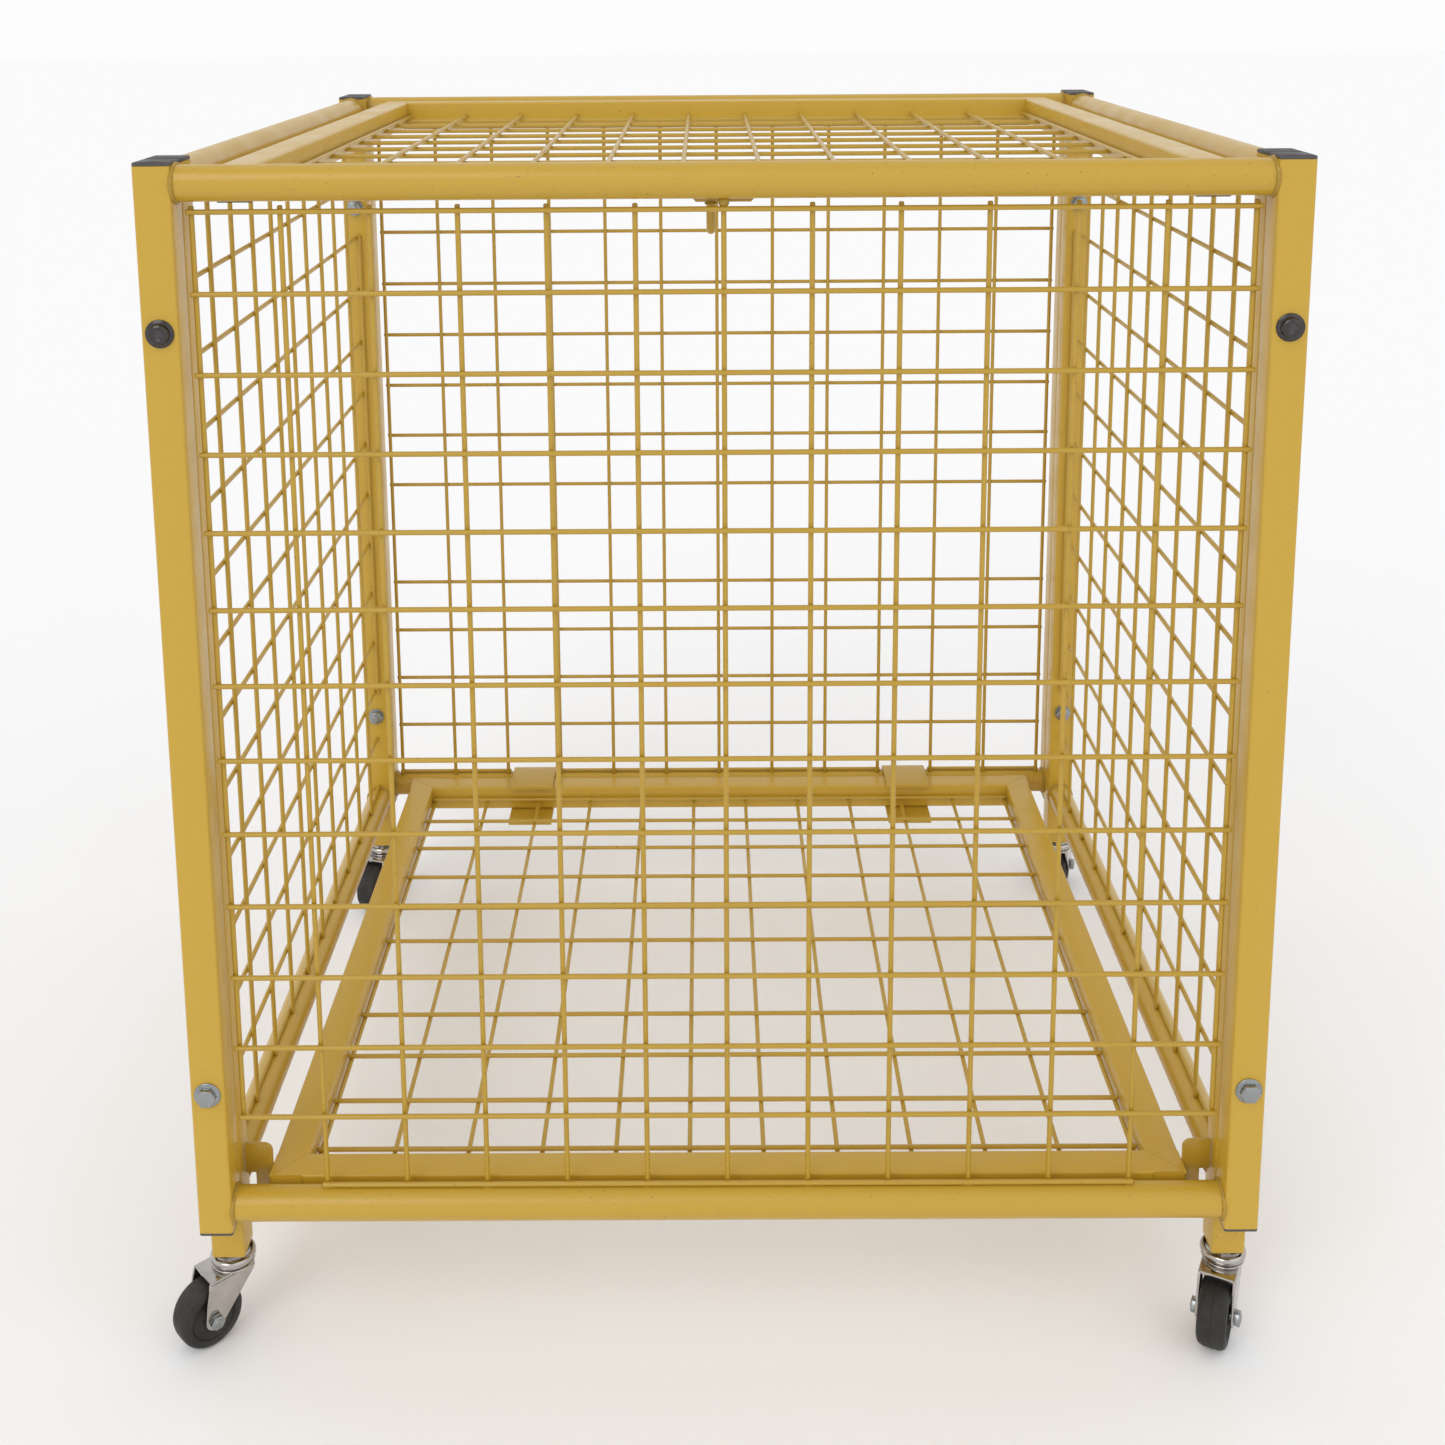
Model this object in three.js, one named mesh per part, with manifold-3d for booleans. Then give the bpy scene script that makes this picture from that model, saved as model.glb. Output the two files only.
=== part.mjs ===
// Mesh cage trolley: four welded tube frames bolted into a box, wire mesh on every face,
// a hinged mesh lid, a hinged mesh floor and four swivel casters.
// Millimetres, +X to the right, +Y to the back, +Z up. The origin is on the ground under
// the middle of the cage.

import * as THREE from 'three';
import { mergeVertices } from 'three/addons/utils/BufferGeometryUtils.js';
import Module from 'manifold-3d';

const wasm = await Module();
wasm.setup();

// ---- driving dimensions ----
const WIDTH = 1000;            // over the posts, left to right
const DEPTH = 900;             // over the posts, front to back
const POST_TOP = 1150;         // top of every post, under its cap
const POST_BOTTOM = 138;       // bottom of the front and rear posts
const STUB_BOTTOM = 86;        // bottom of the side uprights, which carry the casters
const TUBE = 32;               // square posts, lid and floor tubes
const RAIL = 32;               // round rails, outside diameter
const WALL = 1.6;              // wall of every tube
const GAP = 0.4;               // air between pieces that touch

const RAIL_INSET = 20;                    // from a post's bottom up to the bottom rail's axis
const RAIL_LOW = POST_BOTTOM + RAIL_INSET;
const RAIL_HIGH = POST_TOP - RAIL / 2;    // axis height of the top rails
const RAIL_SIDES = 12;
const CAP_SIDE = TUBE - 0.6;              // square head of the caps and plugs
const CAP_T = 3;
const PLUG_SIDE = TUBE - 2 * WALL - 0.8;  // the part of a cap or plug inside its tube
const PLUG_LENGTH = 14;

const WIRE = 4.8;              // real wire diameter
const BAR = 6;                 // width and height of the three-sided bars that stand for the wires
const COLUMN_PITCH = 76.2;     // between upright wires of the front and rear panels
const COLUMNS = 13;
const ROW_PITCH = 71.7;        // between level wires of all four walls
const ROWS = 14;
const ROW_LOW = RAIL_LOW + RAIL / 2 + WIRE / 2 + 0.4;   // lowest level wire, on the rail's crest
const SIDE_COLUMNS = 11;
const SIDE_PITCH = 76.4;
const NUT_ROWS = [2, 11];      // the side panels' edge wires run only between these rows

const PANEL_WIRES = 12;        // front-to-back wires of the lid and the floor
const PANEL_PITCH = 73.4;
const LID_ROWS = 10;
const LID_ROW_PITCH = 76.6;
const LID_ROW_MIDDLE = 10.3;
const FLOOR_ROWS = 10;
const FLOOR_ROW_PITCH = 75.1;
const FLOOR_ROW_MIDDLE = -21.4;
const FLOOR_EDGE_ROW = 380;    // one more cross wire close to the rear tube

const LID_HALF = 440;          // half width over the lid's side tubes
const LID_FRONT = -411;
const LID_BACK = 412;
const LID_TOP = 1146;
const LID_BAR = 25;            // square front cross tube of the lid
const LID_BAR_TOP = LID_TOP - 2;
const LID_MESH = 1122;         // underside of the lid's wires

const FLOOR_HALF = 440;
const FLOOR_END = 417;         // half length of the floor frame
const FLOOR_TOP = RAIL_LOW + RAIL / 2;
const FLOOR_MESH = 151.6;      // underside of the floor's wires
const HOOK_Y = -400;           // middle of the 4 mm plates beside the floor's front corners

const BOLT_HIGH = 1006;
const BOLT_LOW = 283;
const BOLT_D = 10;
const BOLT_HEAD = 26;          // flange of the bolt head and of the nut
const HEX = 17;                // across flats

const STRAP_X = 266.7;         // middle of each floor strap and lid strap, from the centre
const STRAP_T = 5;
const STRAP_W = 60;            // floor straps
const STRAP_R = RAIL / 2 + GAP;
const HINGE_W = 40;            // lid straps
const HINGE_IN = 17.6;         // lid strap, inside and outside radius about the rail
const HINGE_OUT = 21.6;
const PLATE_TOP_HALF = 30;     // half widths of the lock plate
const PLATE_FOOT_HALF = 24;
const STAPLE_X = -11;
const STAPLE_R = 4;            // bar radius of the lock staple
const STAPLE_BOTTOM = 1082;
const PLATE_BOTTOM = 1112;     // underside of the lock plate

const WHEEL_D = 64;
const WHEEL_W = 28;
const TRAIL = 30;              // wheel axis behind the swivel axis
const FORK_IN = 15.2;          // half width inside the fork
const FORK_OUT = 17.7;
const FORK_TOP = 72.3;
const FORK_PLATE = 3;
const RACE_R = 21.8;           // swivel race on top of the fork, and the head above it
const RACE_TOP = 73;
const HEAD_RIM = 82.6;         // rim of the dished swivel head
const FOOT_R = 10;             // round end of the fork at the axle
const KING_R = 5;              // kingpin
const STEM_TOP = 128;          // top of the plug inside the upright
const STEM_R = 13.9;

const POST_X = WIDTH / 2 - TUBE / 2;
const POST_Y = DEPTH / 2 - TUBE / 2;
const SIDE_Y = DEPTH / 2 - 1.5 * TUBE - GAP;
const AXLE_D = 8;

// ---- materials ----
const coat = { color: 0xd0a83c, roughness: 0.5, metalness: 0.1 };
const black = { color: 0x2b2828, roughness: 0.6, metalness: 0 };
const chrome = { color: 0xb9b4ae, roughness: 0.2, metalness: 1 };
const zinc = { color: 0xa8a69c, roughness: 0.35, metalness: 1 };
const rubber = { color: 0x302c2a, roughness: 0.8, metalness: 0 };

const cage = new THREE.Group();

// ---- solid helpers ----
function solid(geometry) {
  let g = geometry.clone();
  g.deleteAttribute('normal');
  g.deleteAttribute('uv');
  g = mergeVertices(g, 1e-4);
  return new wasm.Manifold(new wasm.Mesh({
    numProp: 3,
    vertProperties: new Float32Array(g.attributes.position.array),
    triVerts: new Uint32Array(g.index.array),
  }));
}

function surface(body) {
  const mesh = body.getMesh();
  const g = new THREE.BufferGeometry();
  g.setAttribute('position', new THREE.BufferAttribute(new Float32Array(mesh.vertProperties), 3));
  g.setIndex(new THREE.BufferAttribute(new Uint32Array(mesh.triVerts), 1));
  g.computeVertexNormals();
  return g;
}

function box(low, high) {
  const size = high.map((v, i) => v - low[i]);
  const g = new THREE.BoxGeometry(...size);
  g.translate(...low.map((v, i) => v + size[i] / 2));
  return solid(g);
}

function centredBox(size, at) {
  return box(at.map((v, i) => v - size[i] / 2), at.map((v, i) => v + size[i] / 2));
}

// A round or many-sided bar along 'x', 'y' or 'z'. Flats face the axes.
function rod(diameter, length, along, at, sides = RAIL_SIDES) {
  const g = new THREE.CylinderGeometry(diameter / 2, diameter / 2, length, sides);
  g.rotateY(Math.PI / sides);
  if (along === 'x') g.rotateZ(Math.PI / 2);
  if (along === 'z') g.rotateX(Math.PI / 2);
  g.translate(...at);
  return solid(g);
}

// An outline in the plane across 'along', pushed from one end to the other.
function prism(points, along, from, to) {
  const shape = new THREE.Shape(points.map(([u, v]) => new THREE.Vector2(u, v)));
  const g = new THREE.ExtrudeGeometry(shape, { depth: to - from, bevelEnabled: false });
  g.translate(0, 0, from);
  const turn = new THREE.Matrix4();
  if (along === 'x') turn.makeBasis(axis(0, 1, 0), axis(0, 0, 1), axis(1, 0, 0));
  if (along === 'y') turn.makeBasis(axis(-1, 0, 0), axis(0, 0, 1), axis(0, 1, 0));
  g.applyMatrix4(turn);
  return solid(g);
}

function axis(x, y, z) {
  return new THREE.Vector3(x, y, z);
}

function turned(profile, segments) {
  const g = new THREE.LatheGeometry(profile.map(([r, z]) => new THREE.Vector2(r, z)), segments);
  g.rotateX(Math.PI / 2);
  return solid(g);
}

function join(pieces) {
  return pieces.reduce((sum, piece) => sum.add(piece));
}

function put(name, shape, look, parent = cage) {
  const geometry = shape.isBufferGeometry ? shape : surface(shape);
  const mesh = new THREE.Mesh(geometry, new THREE.MeshStandardMaterial(look));
  mesh.name = name;
  parent.add(mesh);
  return mesh;
}

// ---- wall frames: two square posts and two round rails, hollow ----
function wallFrame({ along, half, at, low }) {
  const place = (u, z) => (along === 'x' ? [u, at, z] : [at, u, z]);
  const inner = half - TUBE / 2;
  const frame = (size, rail, overrun, reach) => join([
    ...[-half, half].map((u) => centredBox(
      [size, size, POST_TOP - low + overrun], place(u, (POST_TOP + low) / 2))),
    ...[RAIL_LOW, RAIL_HIGH].map((z) => rod(rail, 2 * inner + reach, along, place(0, z))),
  ]);
  const shell = frame(TUBE, RAIL, 0, 2);
  const bore = frame(TUBE - 2 * WALL, RAIL - 2 * WALL, 2, 8);
  let body = shell.subtract(bore);
  for (const u of [-half, half]) {
    for (const z of [BOLT_LOW, BOLT_HIGH]) {
      body = body.subtract(rod(BOLT_D + 1.6, TUBE + 4, 'y', place(u, z), 8));
    }
  }
  return body;
}

function addWallFrames() {
  for (const [name, side] of [['front', -1], ['rear', 1]]) {
    const body = wallFrame({ along: 'x', half: POST_X, at: side * POST_Y, low: POST_BOTTOM });
    put(`${name}_frame`, body, coat);
  }
  for (const [name, side] of [['left', -1], ['right', 1]]) {
    const body = wallFrame({ along: 'y', half: SIDE_Y, at: side * POST_X, low: STUB_BOTTOM });
    put(`${name}_side_frame`, body, coat);
  }
}

// ---- wire panels ----
// A lattice of three-sided bars with a flat back at w = 0 and a ridge at w = BAR. us and vs are
// the wires' places; open(i, j, dir) says that the bar from crossing i, j is cut away, with dir
// 'u' towards i + 1 and 'v' towards j + 1. map(u, v, w) places a point and keeps handedness.
function lattice(us, vs, map, open = () => false) {
  const half = BAR / 2;
  const corner = [];
  const index = [];
  const points = [];
  const tri = (...ids) => index.push(...ids);
  us.forEach((u, i) => {
    corner[i] = [];
    vs.forEach((v, j) => {
      const first = points.length / 3;
      for (const [du, dv, w] of [[-1, -1, 0], [1, -1, 0], [1, 1, 0], [-1, 1, 0], [0, 0, BAR]]) {
        points.push(...map(u + du * half, v + dv * half, w));
      }
      corner[i][j] = first;
    });
  });
  const bar = (a, b, c, d, p, q) => {       // back a b c d, ridge p to q over a-d and b-c
    tri(a, c, b, a, d, c);
    tri(a, b, q, a, q, p);
    tri(d, p, q, d, q, c);
  };
  us.forEach((_, i) => vs.forEach((__, j) => {
    const c = corner[i][j];
    tri(c, c + 2, c + 1, c, c + 3, c + 2);
    const right = i + 1 < us.length && !open(i, j, 'u');
    const left = i > 0 && !open(i - 1, j, 'u');
    const up = j + 1 < vs.length && !open(i, j, 'v');
    const down = j > 0 && !open(i, j - 1, 'v');
    if (right) {
      const n = corner[i + 1][j];
      bar(c + 1, n, n + 3, c + 2, c + 4, n + 4);
    } else tri(c + 1, c + 2, c + 4);
    if (up) {
      const n = corner[i][j + 1];
      bar(c + 2, n + 1, n, c + 3, c + 4, n + 4);
    } else tri(c + 2, c + 3, c + 4);
    if (!left) tri(c + 3, c, c + 4);
    if (!down) tri(c, c + 1, c + 4);
  }));
  const g = new THREE.BufferGeometry();
  g.setAttribute('position', new THREE.BufferAttribute(new Float32Array(points), 3));
  g.setIndex(index);
  return solid(g);
}

function spaced(count, pitch, middle = 0) {
  return Array.from({ length: count }, (_, i) => middle + (i - (count - 1) / 2) * pitch);
}

const rows = Array.from({ length: ROWS }, (_, j) => ROW_LOW + j * ROW_PITCH);

function addWallMeshes() {
  const columns = spaced(COLUMNS, COLUMN_PITCH);
  const last = COLUMNS - 1;
  // The two lower corner cells of the front panel stay open beside the floor hooks.
  const frontOpen = (i, j, dir) => j === 0 && (dir === 'u'
    ? i === 0 || i === last - 1
    : i === 0 || i === last);
  const front = lattice(columns, rows, (u, v, w) => [u, -POST_Y + BAR - w, v], frontOpen);
  put('front_mesh', largest(front), coat);

  // The lowest rear wire is cut away where each floor strap passes over the rail.
  const strapCell = (i) => Math.abs(Math.abs(columns[i] + COLUMN_PITCH / 2) - STRAP_X) < 1;
  const rearOpen = (i, j, dir) => j === 0 && dir === 'u' && strapCell(i);
  const rear = lattice(columns, rows, (u, v, w) => [-u, POST_Y - BAR + w, v], rearOpen);
  put('rear_mesh', rear, coat);

  const sideColumns = spaced(SIDE_COLUMNS, SIDE_PITCH);
  const sideLast = SIDE_COLUMNS - 1;
  const sideOpen = (i, j, dir) => dir === 'v' && (i === 0 || i === sideLast)
    && (j < NUT_ROWS[0] || j >= NUT_ROWS[1]);
  for (const [name, side] of [['left', -1], ['right', 1]]) {
    const map = (u, v, w) => [side * (POST_X - BAR + w), side * u, v];
    put(`${name}_side_mesh`, lattice(sideColumns, rows, map, sideOpen), coat);
  }
}

// Drops loose crumbs, such as the crossings that an opening leaves on their own.
function largest(body) {
  return body.decompose().reduce((a, b) => (b.volume() > a.volume() ? b : a));
}

// ---- caps and plugs ----
function capAt(x, y, z, up) {
  const seat = z + up * GAP;
  return join([
    centredBox([CAP_SIDE, CAP_SIDE, CAP_T], [x, y, seat + up * CAP_T / 2]),
    centredBox([PLUG_SIDE, PLUG_SIDE, PLUG_LENGTH], [x, y, seat + up * (CAP_T - PLUG_LENGTH) / 2]),
  ]);
}

function addCaps() {
  for (const [end, ey] of [['front', -1], ['rear', 1]]) {
    for (const [hand, hx] of [['left', -1], ['right', 1]]) {
      const x = hx * POST_X;
      put(`${end}_${hand}_post_cap`, capAt(x, ey * POST_Y, POST_TOP, 1), black);
      put(`${end}_${hand}_post_plug`, capAt(x, ey * POST_Y, POST_BOTTOM, -1), black);
      put(`${end}_${hand}_upright_cap`, capAt(x, ey * SIDE_Y, POST_TOP, 1), black);
    }
  }
}

// ---- bolts through each post and upright, with their nuts ----
function addBolts() {
  for (const [end, ey] of [['front', -1], ['rear', 1]]) {
    for (const [hand, hx] of [['left', -1], ['right', 1]]) {
      for (const [level, z] of [['low', BOLT_LOW], ['high', BOLT_HIGH]]) {
        const x = hx * POST_X;
        const outer = ey * (DEPTH / 2 + GAP);
        const inner = ey * (SIDE_Y - TUBE / 2 - GAP);
        const at = (from, length) => [x, from + ey * length / 2, z];
        const back = (from, length) => [x, from - ey * length / 2, z];
        put(`bolt_${end}_${hand}_${level}`, join([
          rod(BOLT_HEAD, 2, 'y', at(outer, 2), 12),
          rod(HEX / Math.cos(Math.PI / 6), 7, 'y', at(outer + ey, 7), 6),
          rod(BOLT_D, 2 * TUBE + 16, 'y', [x, (outer + inner) / 2 - ey * 5, z], 8),
          rod(BOLT_HEAD - 4, 1.6, 'y', back(inner, 1.6), 12),
          rod(HEX / Math.cos(Math.PI / 6), 8, 'y', back(inner - ey, 8), 6),
        ]), zinc);
      }
    }
  }
}

// ---- lid ----
function addLid() {
  const low = LID_TOP - TUBE;
  const inside = LID_HALF - TUBE;
  const outer = join([
    ...[-1, 1].map((s) => box(
      [s > 0 ? inside : -LID_HALF, LID_FRONT, low], [s > 0 ? LID_HALF : -inside, LID_BACK, LID_TOP])),
    box([-LID_HALF, LID_BACK - TUBE, low], [LID_HALF, LID_BACK, LID_TOP]),
    box([-inside - 1, LID_FRONT, LID_BAR_TOP - LID_BAR], [inside + 1, LID_FRONT + LID_BAR, LID_BAR_TOP]),
  ]);
  const bore = join([
    ...[-1, 1].map((s) => box(
      [s * (LID_HALF - TUBE / 2) - TUBE / 2 + WALL, LID_FRONT - 1, low + WALL],
      [s * (LID_HALF - TUBE / 2) + TUBE / 2 - WALL, LID_BACK - WALL, LID_TOP - WALL])),
    box([-LID_HALF + WALL, LID_BACK - TUBE + WALL, low + WALL],
      [LID_HALF - WALL, LID_BACK - WALL, LID_TOP - WALL]),
    box([-inside - WALL - 1, LID_FRONT + WALL, LID_BAR_TOP - LID_BAR + WALL],
      [inside + WALL + 1, LID_FRONT + LID_BAR - WALL, LID_BAR_TOP - WALL]),
  ]);
  put('lid_frame', outer.subtract(bore), coat);

  const front = LID_FRONT + LID_BAR + BAR / 2 + GAP;
  const back = LID_BACK - TUBE - BAR / 2 - GAP;
  const cross = spaced(LID_ROWS, LID_ROW_PITCH, LID_ROW_MIDDLE);
  const ends = (i, j, dir) => dir === 'u' && (j === 0 || j === LID_ROWS + 1);
  put('lid_mesh', lattice(spaced(PANEL_WIRES, PANEL_PITCH), [front, ...cross, back],
    (u, v, w) => [u, v, LID_MESH + w], ends), coat);

  const face = LID_FRONT - GAP - CAP_T;
  for (const [hand, s] of [['left', -1], ['right', 1]]) {
    const x = s * (LID_HALF - TUBE / 2);
    const z = LID_TOP - TUBE / 2;
    put(`lid_${hand}_plug`, join([
      centredBox([CAP_SIDE, CAP_T, CAP_SIDE], [x, face + CAP_T / 2, z]),
      centredBox([PLUG_SIDE, PLUG_LENGTH, PLUG_SIDE], [x, face + PLUG_LENGTH / 2, z]),
    ]), black);
    put(`lid_${hand}_strap`, lidStrap(s * STRAP_X), coat);
  }

  const under = LID_BAR_TOP - LID_BAR - GAP;
  put('lid_lock_plate', prism(
    [[PLATE_TOP_HALF, under], [-PLATE_TOP_HALF, under],
      [-PLATE_FOOT_HALF, PLATE_BOTTOM], [PLATE_FOOT_HALF, PLATE_BOTTOM]],
    'y', LID_FRONT + 1, LID_FRONT + LID_BAR - 1), coat);
  put('lid_lock_staple', staple(STAPLE_X, LID_FRONT + LID_BAR / 2, PLATE_BOTTOM - GAP), coat);
}

// Points on a circle about the axis of a rear rail, in the plane across the rail.
function railArc(height, radius, from, to, steps) {
  return Array.from({ length: steps + 1 }, (_, k) => {
    const a = THREE.MathUtils.degToRad(from + (to - from) * k / steps);
    return [POST_Y + radius * Math.cos(a), height + radius * Math.sin(a)];
  });
}

// A strap on the lid's rear face that curls under the rear top rail and up behind it.
function lidStrap(x) {
  const curl = prism([
    ...railArc(RAIL_HIGH, HINGE_OUT, -180, 25, 12),
    ...railArc(RAIL_HIGH, HINGE_IN, 25, -180, 12),
  ], 'x', x - HINGE_W / 2, x + HINGE_W / 2);
  const face = LID_BACK + GAP;
  return curl.add(box(
    [x - HINGE_W / 2, face, RAIL_HIGH - 14], [x + HINGE_W / 2, face + 3.6, RAIL_HIGH + 10]));
}

// A U of round bar that hangs with its plane front to back.
function staple(x, y, top) {
  const half = 9;
  const low = STAPLE_BOTTOM + half + STAPLE_R;
  const path = new THREE.CurvePath();
  path.add(new THREE.LineCurve3(axis(x, y - half, top), axis(x, y - half, low)));
  path.add(new THREE.CatmullRomCurve3(Array.from({ length: 7 }, (_, k) => {
    const a = Math.PI + Math.PI * k / 6;
    return axis(x, y + half * Math.cos(a), low + half * Math.sin(a));
  })));
  path.add(new THREE.LineCurve3(axis(x, y + half, low), axis(x, y + half, top)));
  const section = new THREE.Shape();
  section.absarc(0, 0, STAPLE_R, 0, Math.PI * 2);
  return solid(new THREE.ExtrudeGeometry(section,
    { extrudePath: path, steps: 14, curveSegments: 3, bevelEnabled: false }));
}

// ---- floor ----
function addFloor() {
  const low = FLOOR_TOP - TUBE;
  const ring = (inset) => {
    const h = FLOOR_HALF - inset;
    const e = FLOOR_END - inset;
    const w = TUBE - 2 * inset;
    const z = [low + inset, FLOOR_TOP - inset];
    return join([
      box([-h, -e, z[0]], [-h + w, e, z[1]]),
      box([h - w, -e, z[0]], [h, e, z[1]]),
      box([-h, -e, z[0]], [h, -e + w, z[1]]),
      box([-h, e - w, z[0]], [h, e, z[1]]),
    ]);
  };
  // Drain holes under the side tubes open the ring's hollow to the air.
  const drains = join([-1, 1].map((s) => rod(8, 6, 'z', [s * (FLOOR_HALF - TUBE / 2), 0, low], 8)));
  put('floor_frame', ring(0).subtract(ring(WALL)).subtract(drains), coat);

  const cross = spaced(FLOOR_ROWS, FLOOR_ROW_PITCH, FLOOR_ROW_MIDDLE);
  const front = -FLOOR_END + TUBE + BAR / 2 + GAP;
  put('floor_mesh', lattice(spaced(PANEL_WIRES, PANEL_PITCH), [front, ...cross, FLOOR_EDGE_ROW],
    (u, v, w) => [u, v, FLOOR_MESH + w], (i, j, dir) => dir === 'u' && j === 0), coat);

  for (const [hand, s] of [['left', -1], ['right', 1]]) {
    put(`floor_${hand}_strap`, floorStrap(s * STRAP_X), coat);
    put(`floor_${hand}_hook`, floorHook(s), coat);
  }
}

// A U strap round the rear bottom rail, with one leaf over and one under the floor's rear tube.
function floorStrap(x) {
  const topFront = 377;
  const lowFront = 347;
  const outer = STRAP_R + STRAP_T;
  return prism([
    [lowFront, RAIL_LOW - outer],
    ...railArc(RAIL_LOW, outer, -90, 90, 10),
    [topFront, RAIL_LOW + outer],
    [topFront, RAIL_LOW + STRAP_R],
    ...railArc(RAIL_LOW, STRAP_R, 90, -90, 10),
    [lowFront, RAIL_LOW - STRAP_R],
  ], 'x', x - STRAP_W / 2, x + STRAP_W / 2);
}

// A plate beside the floor's front corner, with a rounded top corner and a notch open below.
function floorHook(s) {
  const inner = FLOOR_HALF + GAP;
  const outer = WIDTH / 2 - TUBE - 1;
  const top = FLOOR_TOP + 22;
  const bottom = FLOOR_TOP - 28;
  const notchTop = bottom + 20;
  const notch = 10;
  const round = 8;
  const points = [[inner, bottom]];
  for (let k = 0; k <= 4; k += 1) {
    const a = Math.PI - k * Math.PI / 8;
    points.push([inner + round + round * Math.cos(a), top - round + round * Math.sin(a)]);
  }
  points.push([outer, top], [outer, notchTop], [outer - notch, notchTop], [outer - notch, bottom]);
  const placed = points.map(([u, v]) => [-s * u, v]);
  return prism(s > 0 ? placed : placed.reverse(), 'y', HOOK_Y - 2, HOOK_Y + 2);
}

// ---- casters ----
const casters = [
  { name: 'front_left', x: -1, y: -1, heading: 223 },
  { name: 'front_right', x: 1, y: -1, heading: 244 },
  { name: 'rear_left', x: -1, y: 1, heading: 252 },
  { name: 'rear_right', x: 1, y: 1, heading: 70 },
];

// Plug in the upright, neck, dished swivel head and riveted kingpin.
function casterStem() {
  const rivet = FORK_TOP - FORK_PLATE - 0.8;
  const head = RACE_TOP + 0.8;
  const seat = STUB_BOTTOM - GAP;
  const neck = 7;
  return turned([
    [0, rivet - 3], [8, rivet - 3], [8, rivet], [KING_R, rivet],
    [KING_R, head], [RACE_R, head], [RACE_R, HEAD_RIM - 2.6], [17.5, HEAD_RIM], [neck, HEAD_RIM - 2],
    [neck, seat], [STEM_R, seat], [STEM_R, STEM_TOP], [0, STEM_TOP],
  ], 14);
}

// The fork with its swivel axis on Z and the wheel trailing towards +X.
function casterFork() {
  const plate = FORK_TOP - FORK_PLATE;
  const axle = WHEEL_D / 2;
  const side = [[-14, FORK_TOP], [-12, FORK_TOP - 6]];
  for (let k = 0; k <= 6; k += 1) {
    const a = THREE.MathUtils.degToRad(217 + k * 24);
    side.push([TRAIL + FOOT_R * Math.cos(a), axle + FOOT_R * Math.sin(a)]);
  }
  side.push([36, FORK_TOP - 14], [33, FORK_TOP]);
  const points = side.map(([u, v]) => [-u, v]).reverse();
  const legs = prism(points, 'y', -FORK_OUT, FORK_OUT);
  const slot = box([-60, -FORK_IN, 0], [60, FORK_IN, plate]);
  const axleHole = rod(AXLE_D + 1.2, 60, 'y', [TRAIL, 0, axle], 8);
  const kingHole = rod(2 * KING_R + 1.4, 20, 'z', [0, 0, plate], 16);
  const race = turned([
    [KING_R + 0.7, plate + 1], [RACE_R - 3, plate + 1], [RACE_R - 1, FORK_TOP], [RACE_R - 1, RACE_TOP],
    [KING_R + 0.7, RACE_TOP], [KING_R + 0.7, plate + 1],
  ], 16);
  return legs.subtract(slot).subtract(axleHole).subtract(kingHole).add(race);
}

function casterAxle() {
  const axle = WHEEL_D / 2;
  const hexSize = 13 / Math.cos(Math.PI / 6);
  return join([
    rod(AXLE_D, 2 * FORK_OUT + 14, 'y', [TRAIL, 0, axle], 8),
    rod(hexSize, 5, 'y', [TRAIL, -FORK_OUT - GAP - 2.5, axle], 6),
    rod(hexSize, 6, 'y', [TRAIL, FORK_OUT + GAP + 3, axle], 6),
  ]);
}

function casterWheel() {
  const r = WHEEL_D / 2;
  const h = WHEEL_W / 2;
  const bore = AXLE_D / 2 + 0.7;
  const g = new THREE.LatheGeometry([
    [bore, -h], [10, -h], [12, -h + 2], [21, -h + 2], [23, -h], [r - 4, -h], [r, -h + 5],
    [r, h - 5], [r - 4, h], [23, h], [21, h - 2], [12, h - 2], [10, h], [bore, h], [bore, -h],
  ].map(([a, b]) => new THREE.Vector2(a, b)), 20);
  return solid(g).translate([TRAIL, 0, r]);
}

function addCasters() {
  for (const { name, x, y, heading } of casters) {
    const group = new THREE.Group();
    group.position.set(x * POST_X, y * SIDE_Y, 0);
    cage.add(group);
    put(`${name}_caster_stem`, casterStem(), chrome, group);
    const swivel = new THREE.Group();
    swivel.rotation.z = THREE.MathUtils.degToRad(heading);
    group.add(swivel);
    put(`${name}_caster_fork`, casterFork(), chrome, swivel);
    put(`${name}_caster_axle`, casterAxle(), chrome, swivel);
    put(`${name}_caster_wheel`, casterWheel(), rubber, swivel);
  }
}

addWallFrames();
addWallMeshes();
addCaps();
addBolts();
addLid();
addFloor();
addCasters();

export default cage;
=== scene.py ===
"""Looks of the mesh cage trolley: welded tube frames, wire panels, lid, floor and casters."""

import math
import random

import bmesh
import bpy
from mathutils import Matrix, Vector


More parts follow.
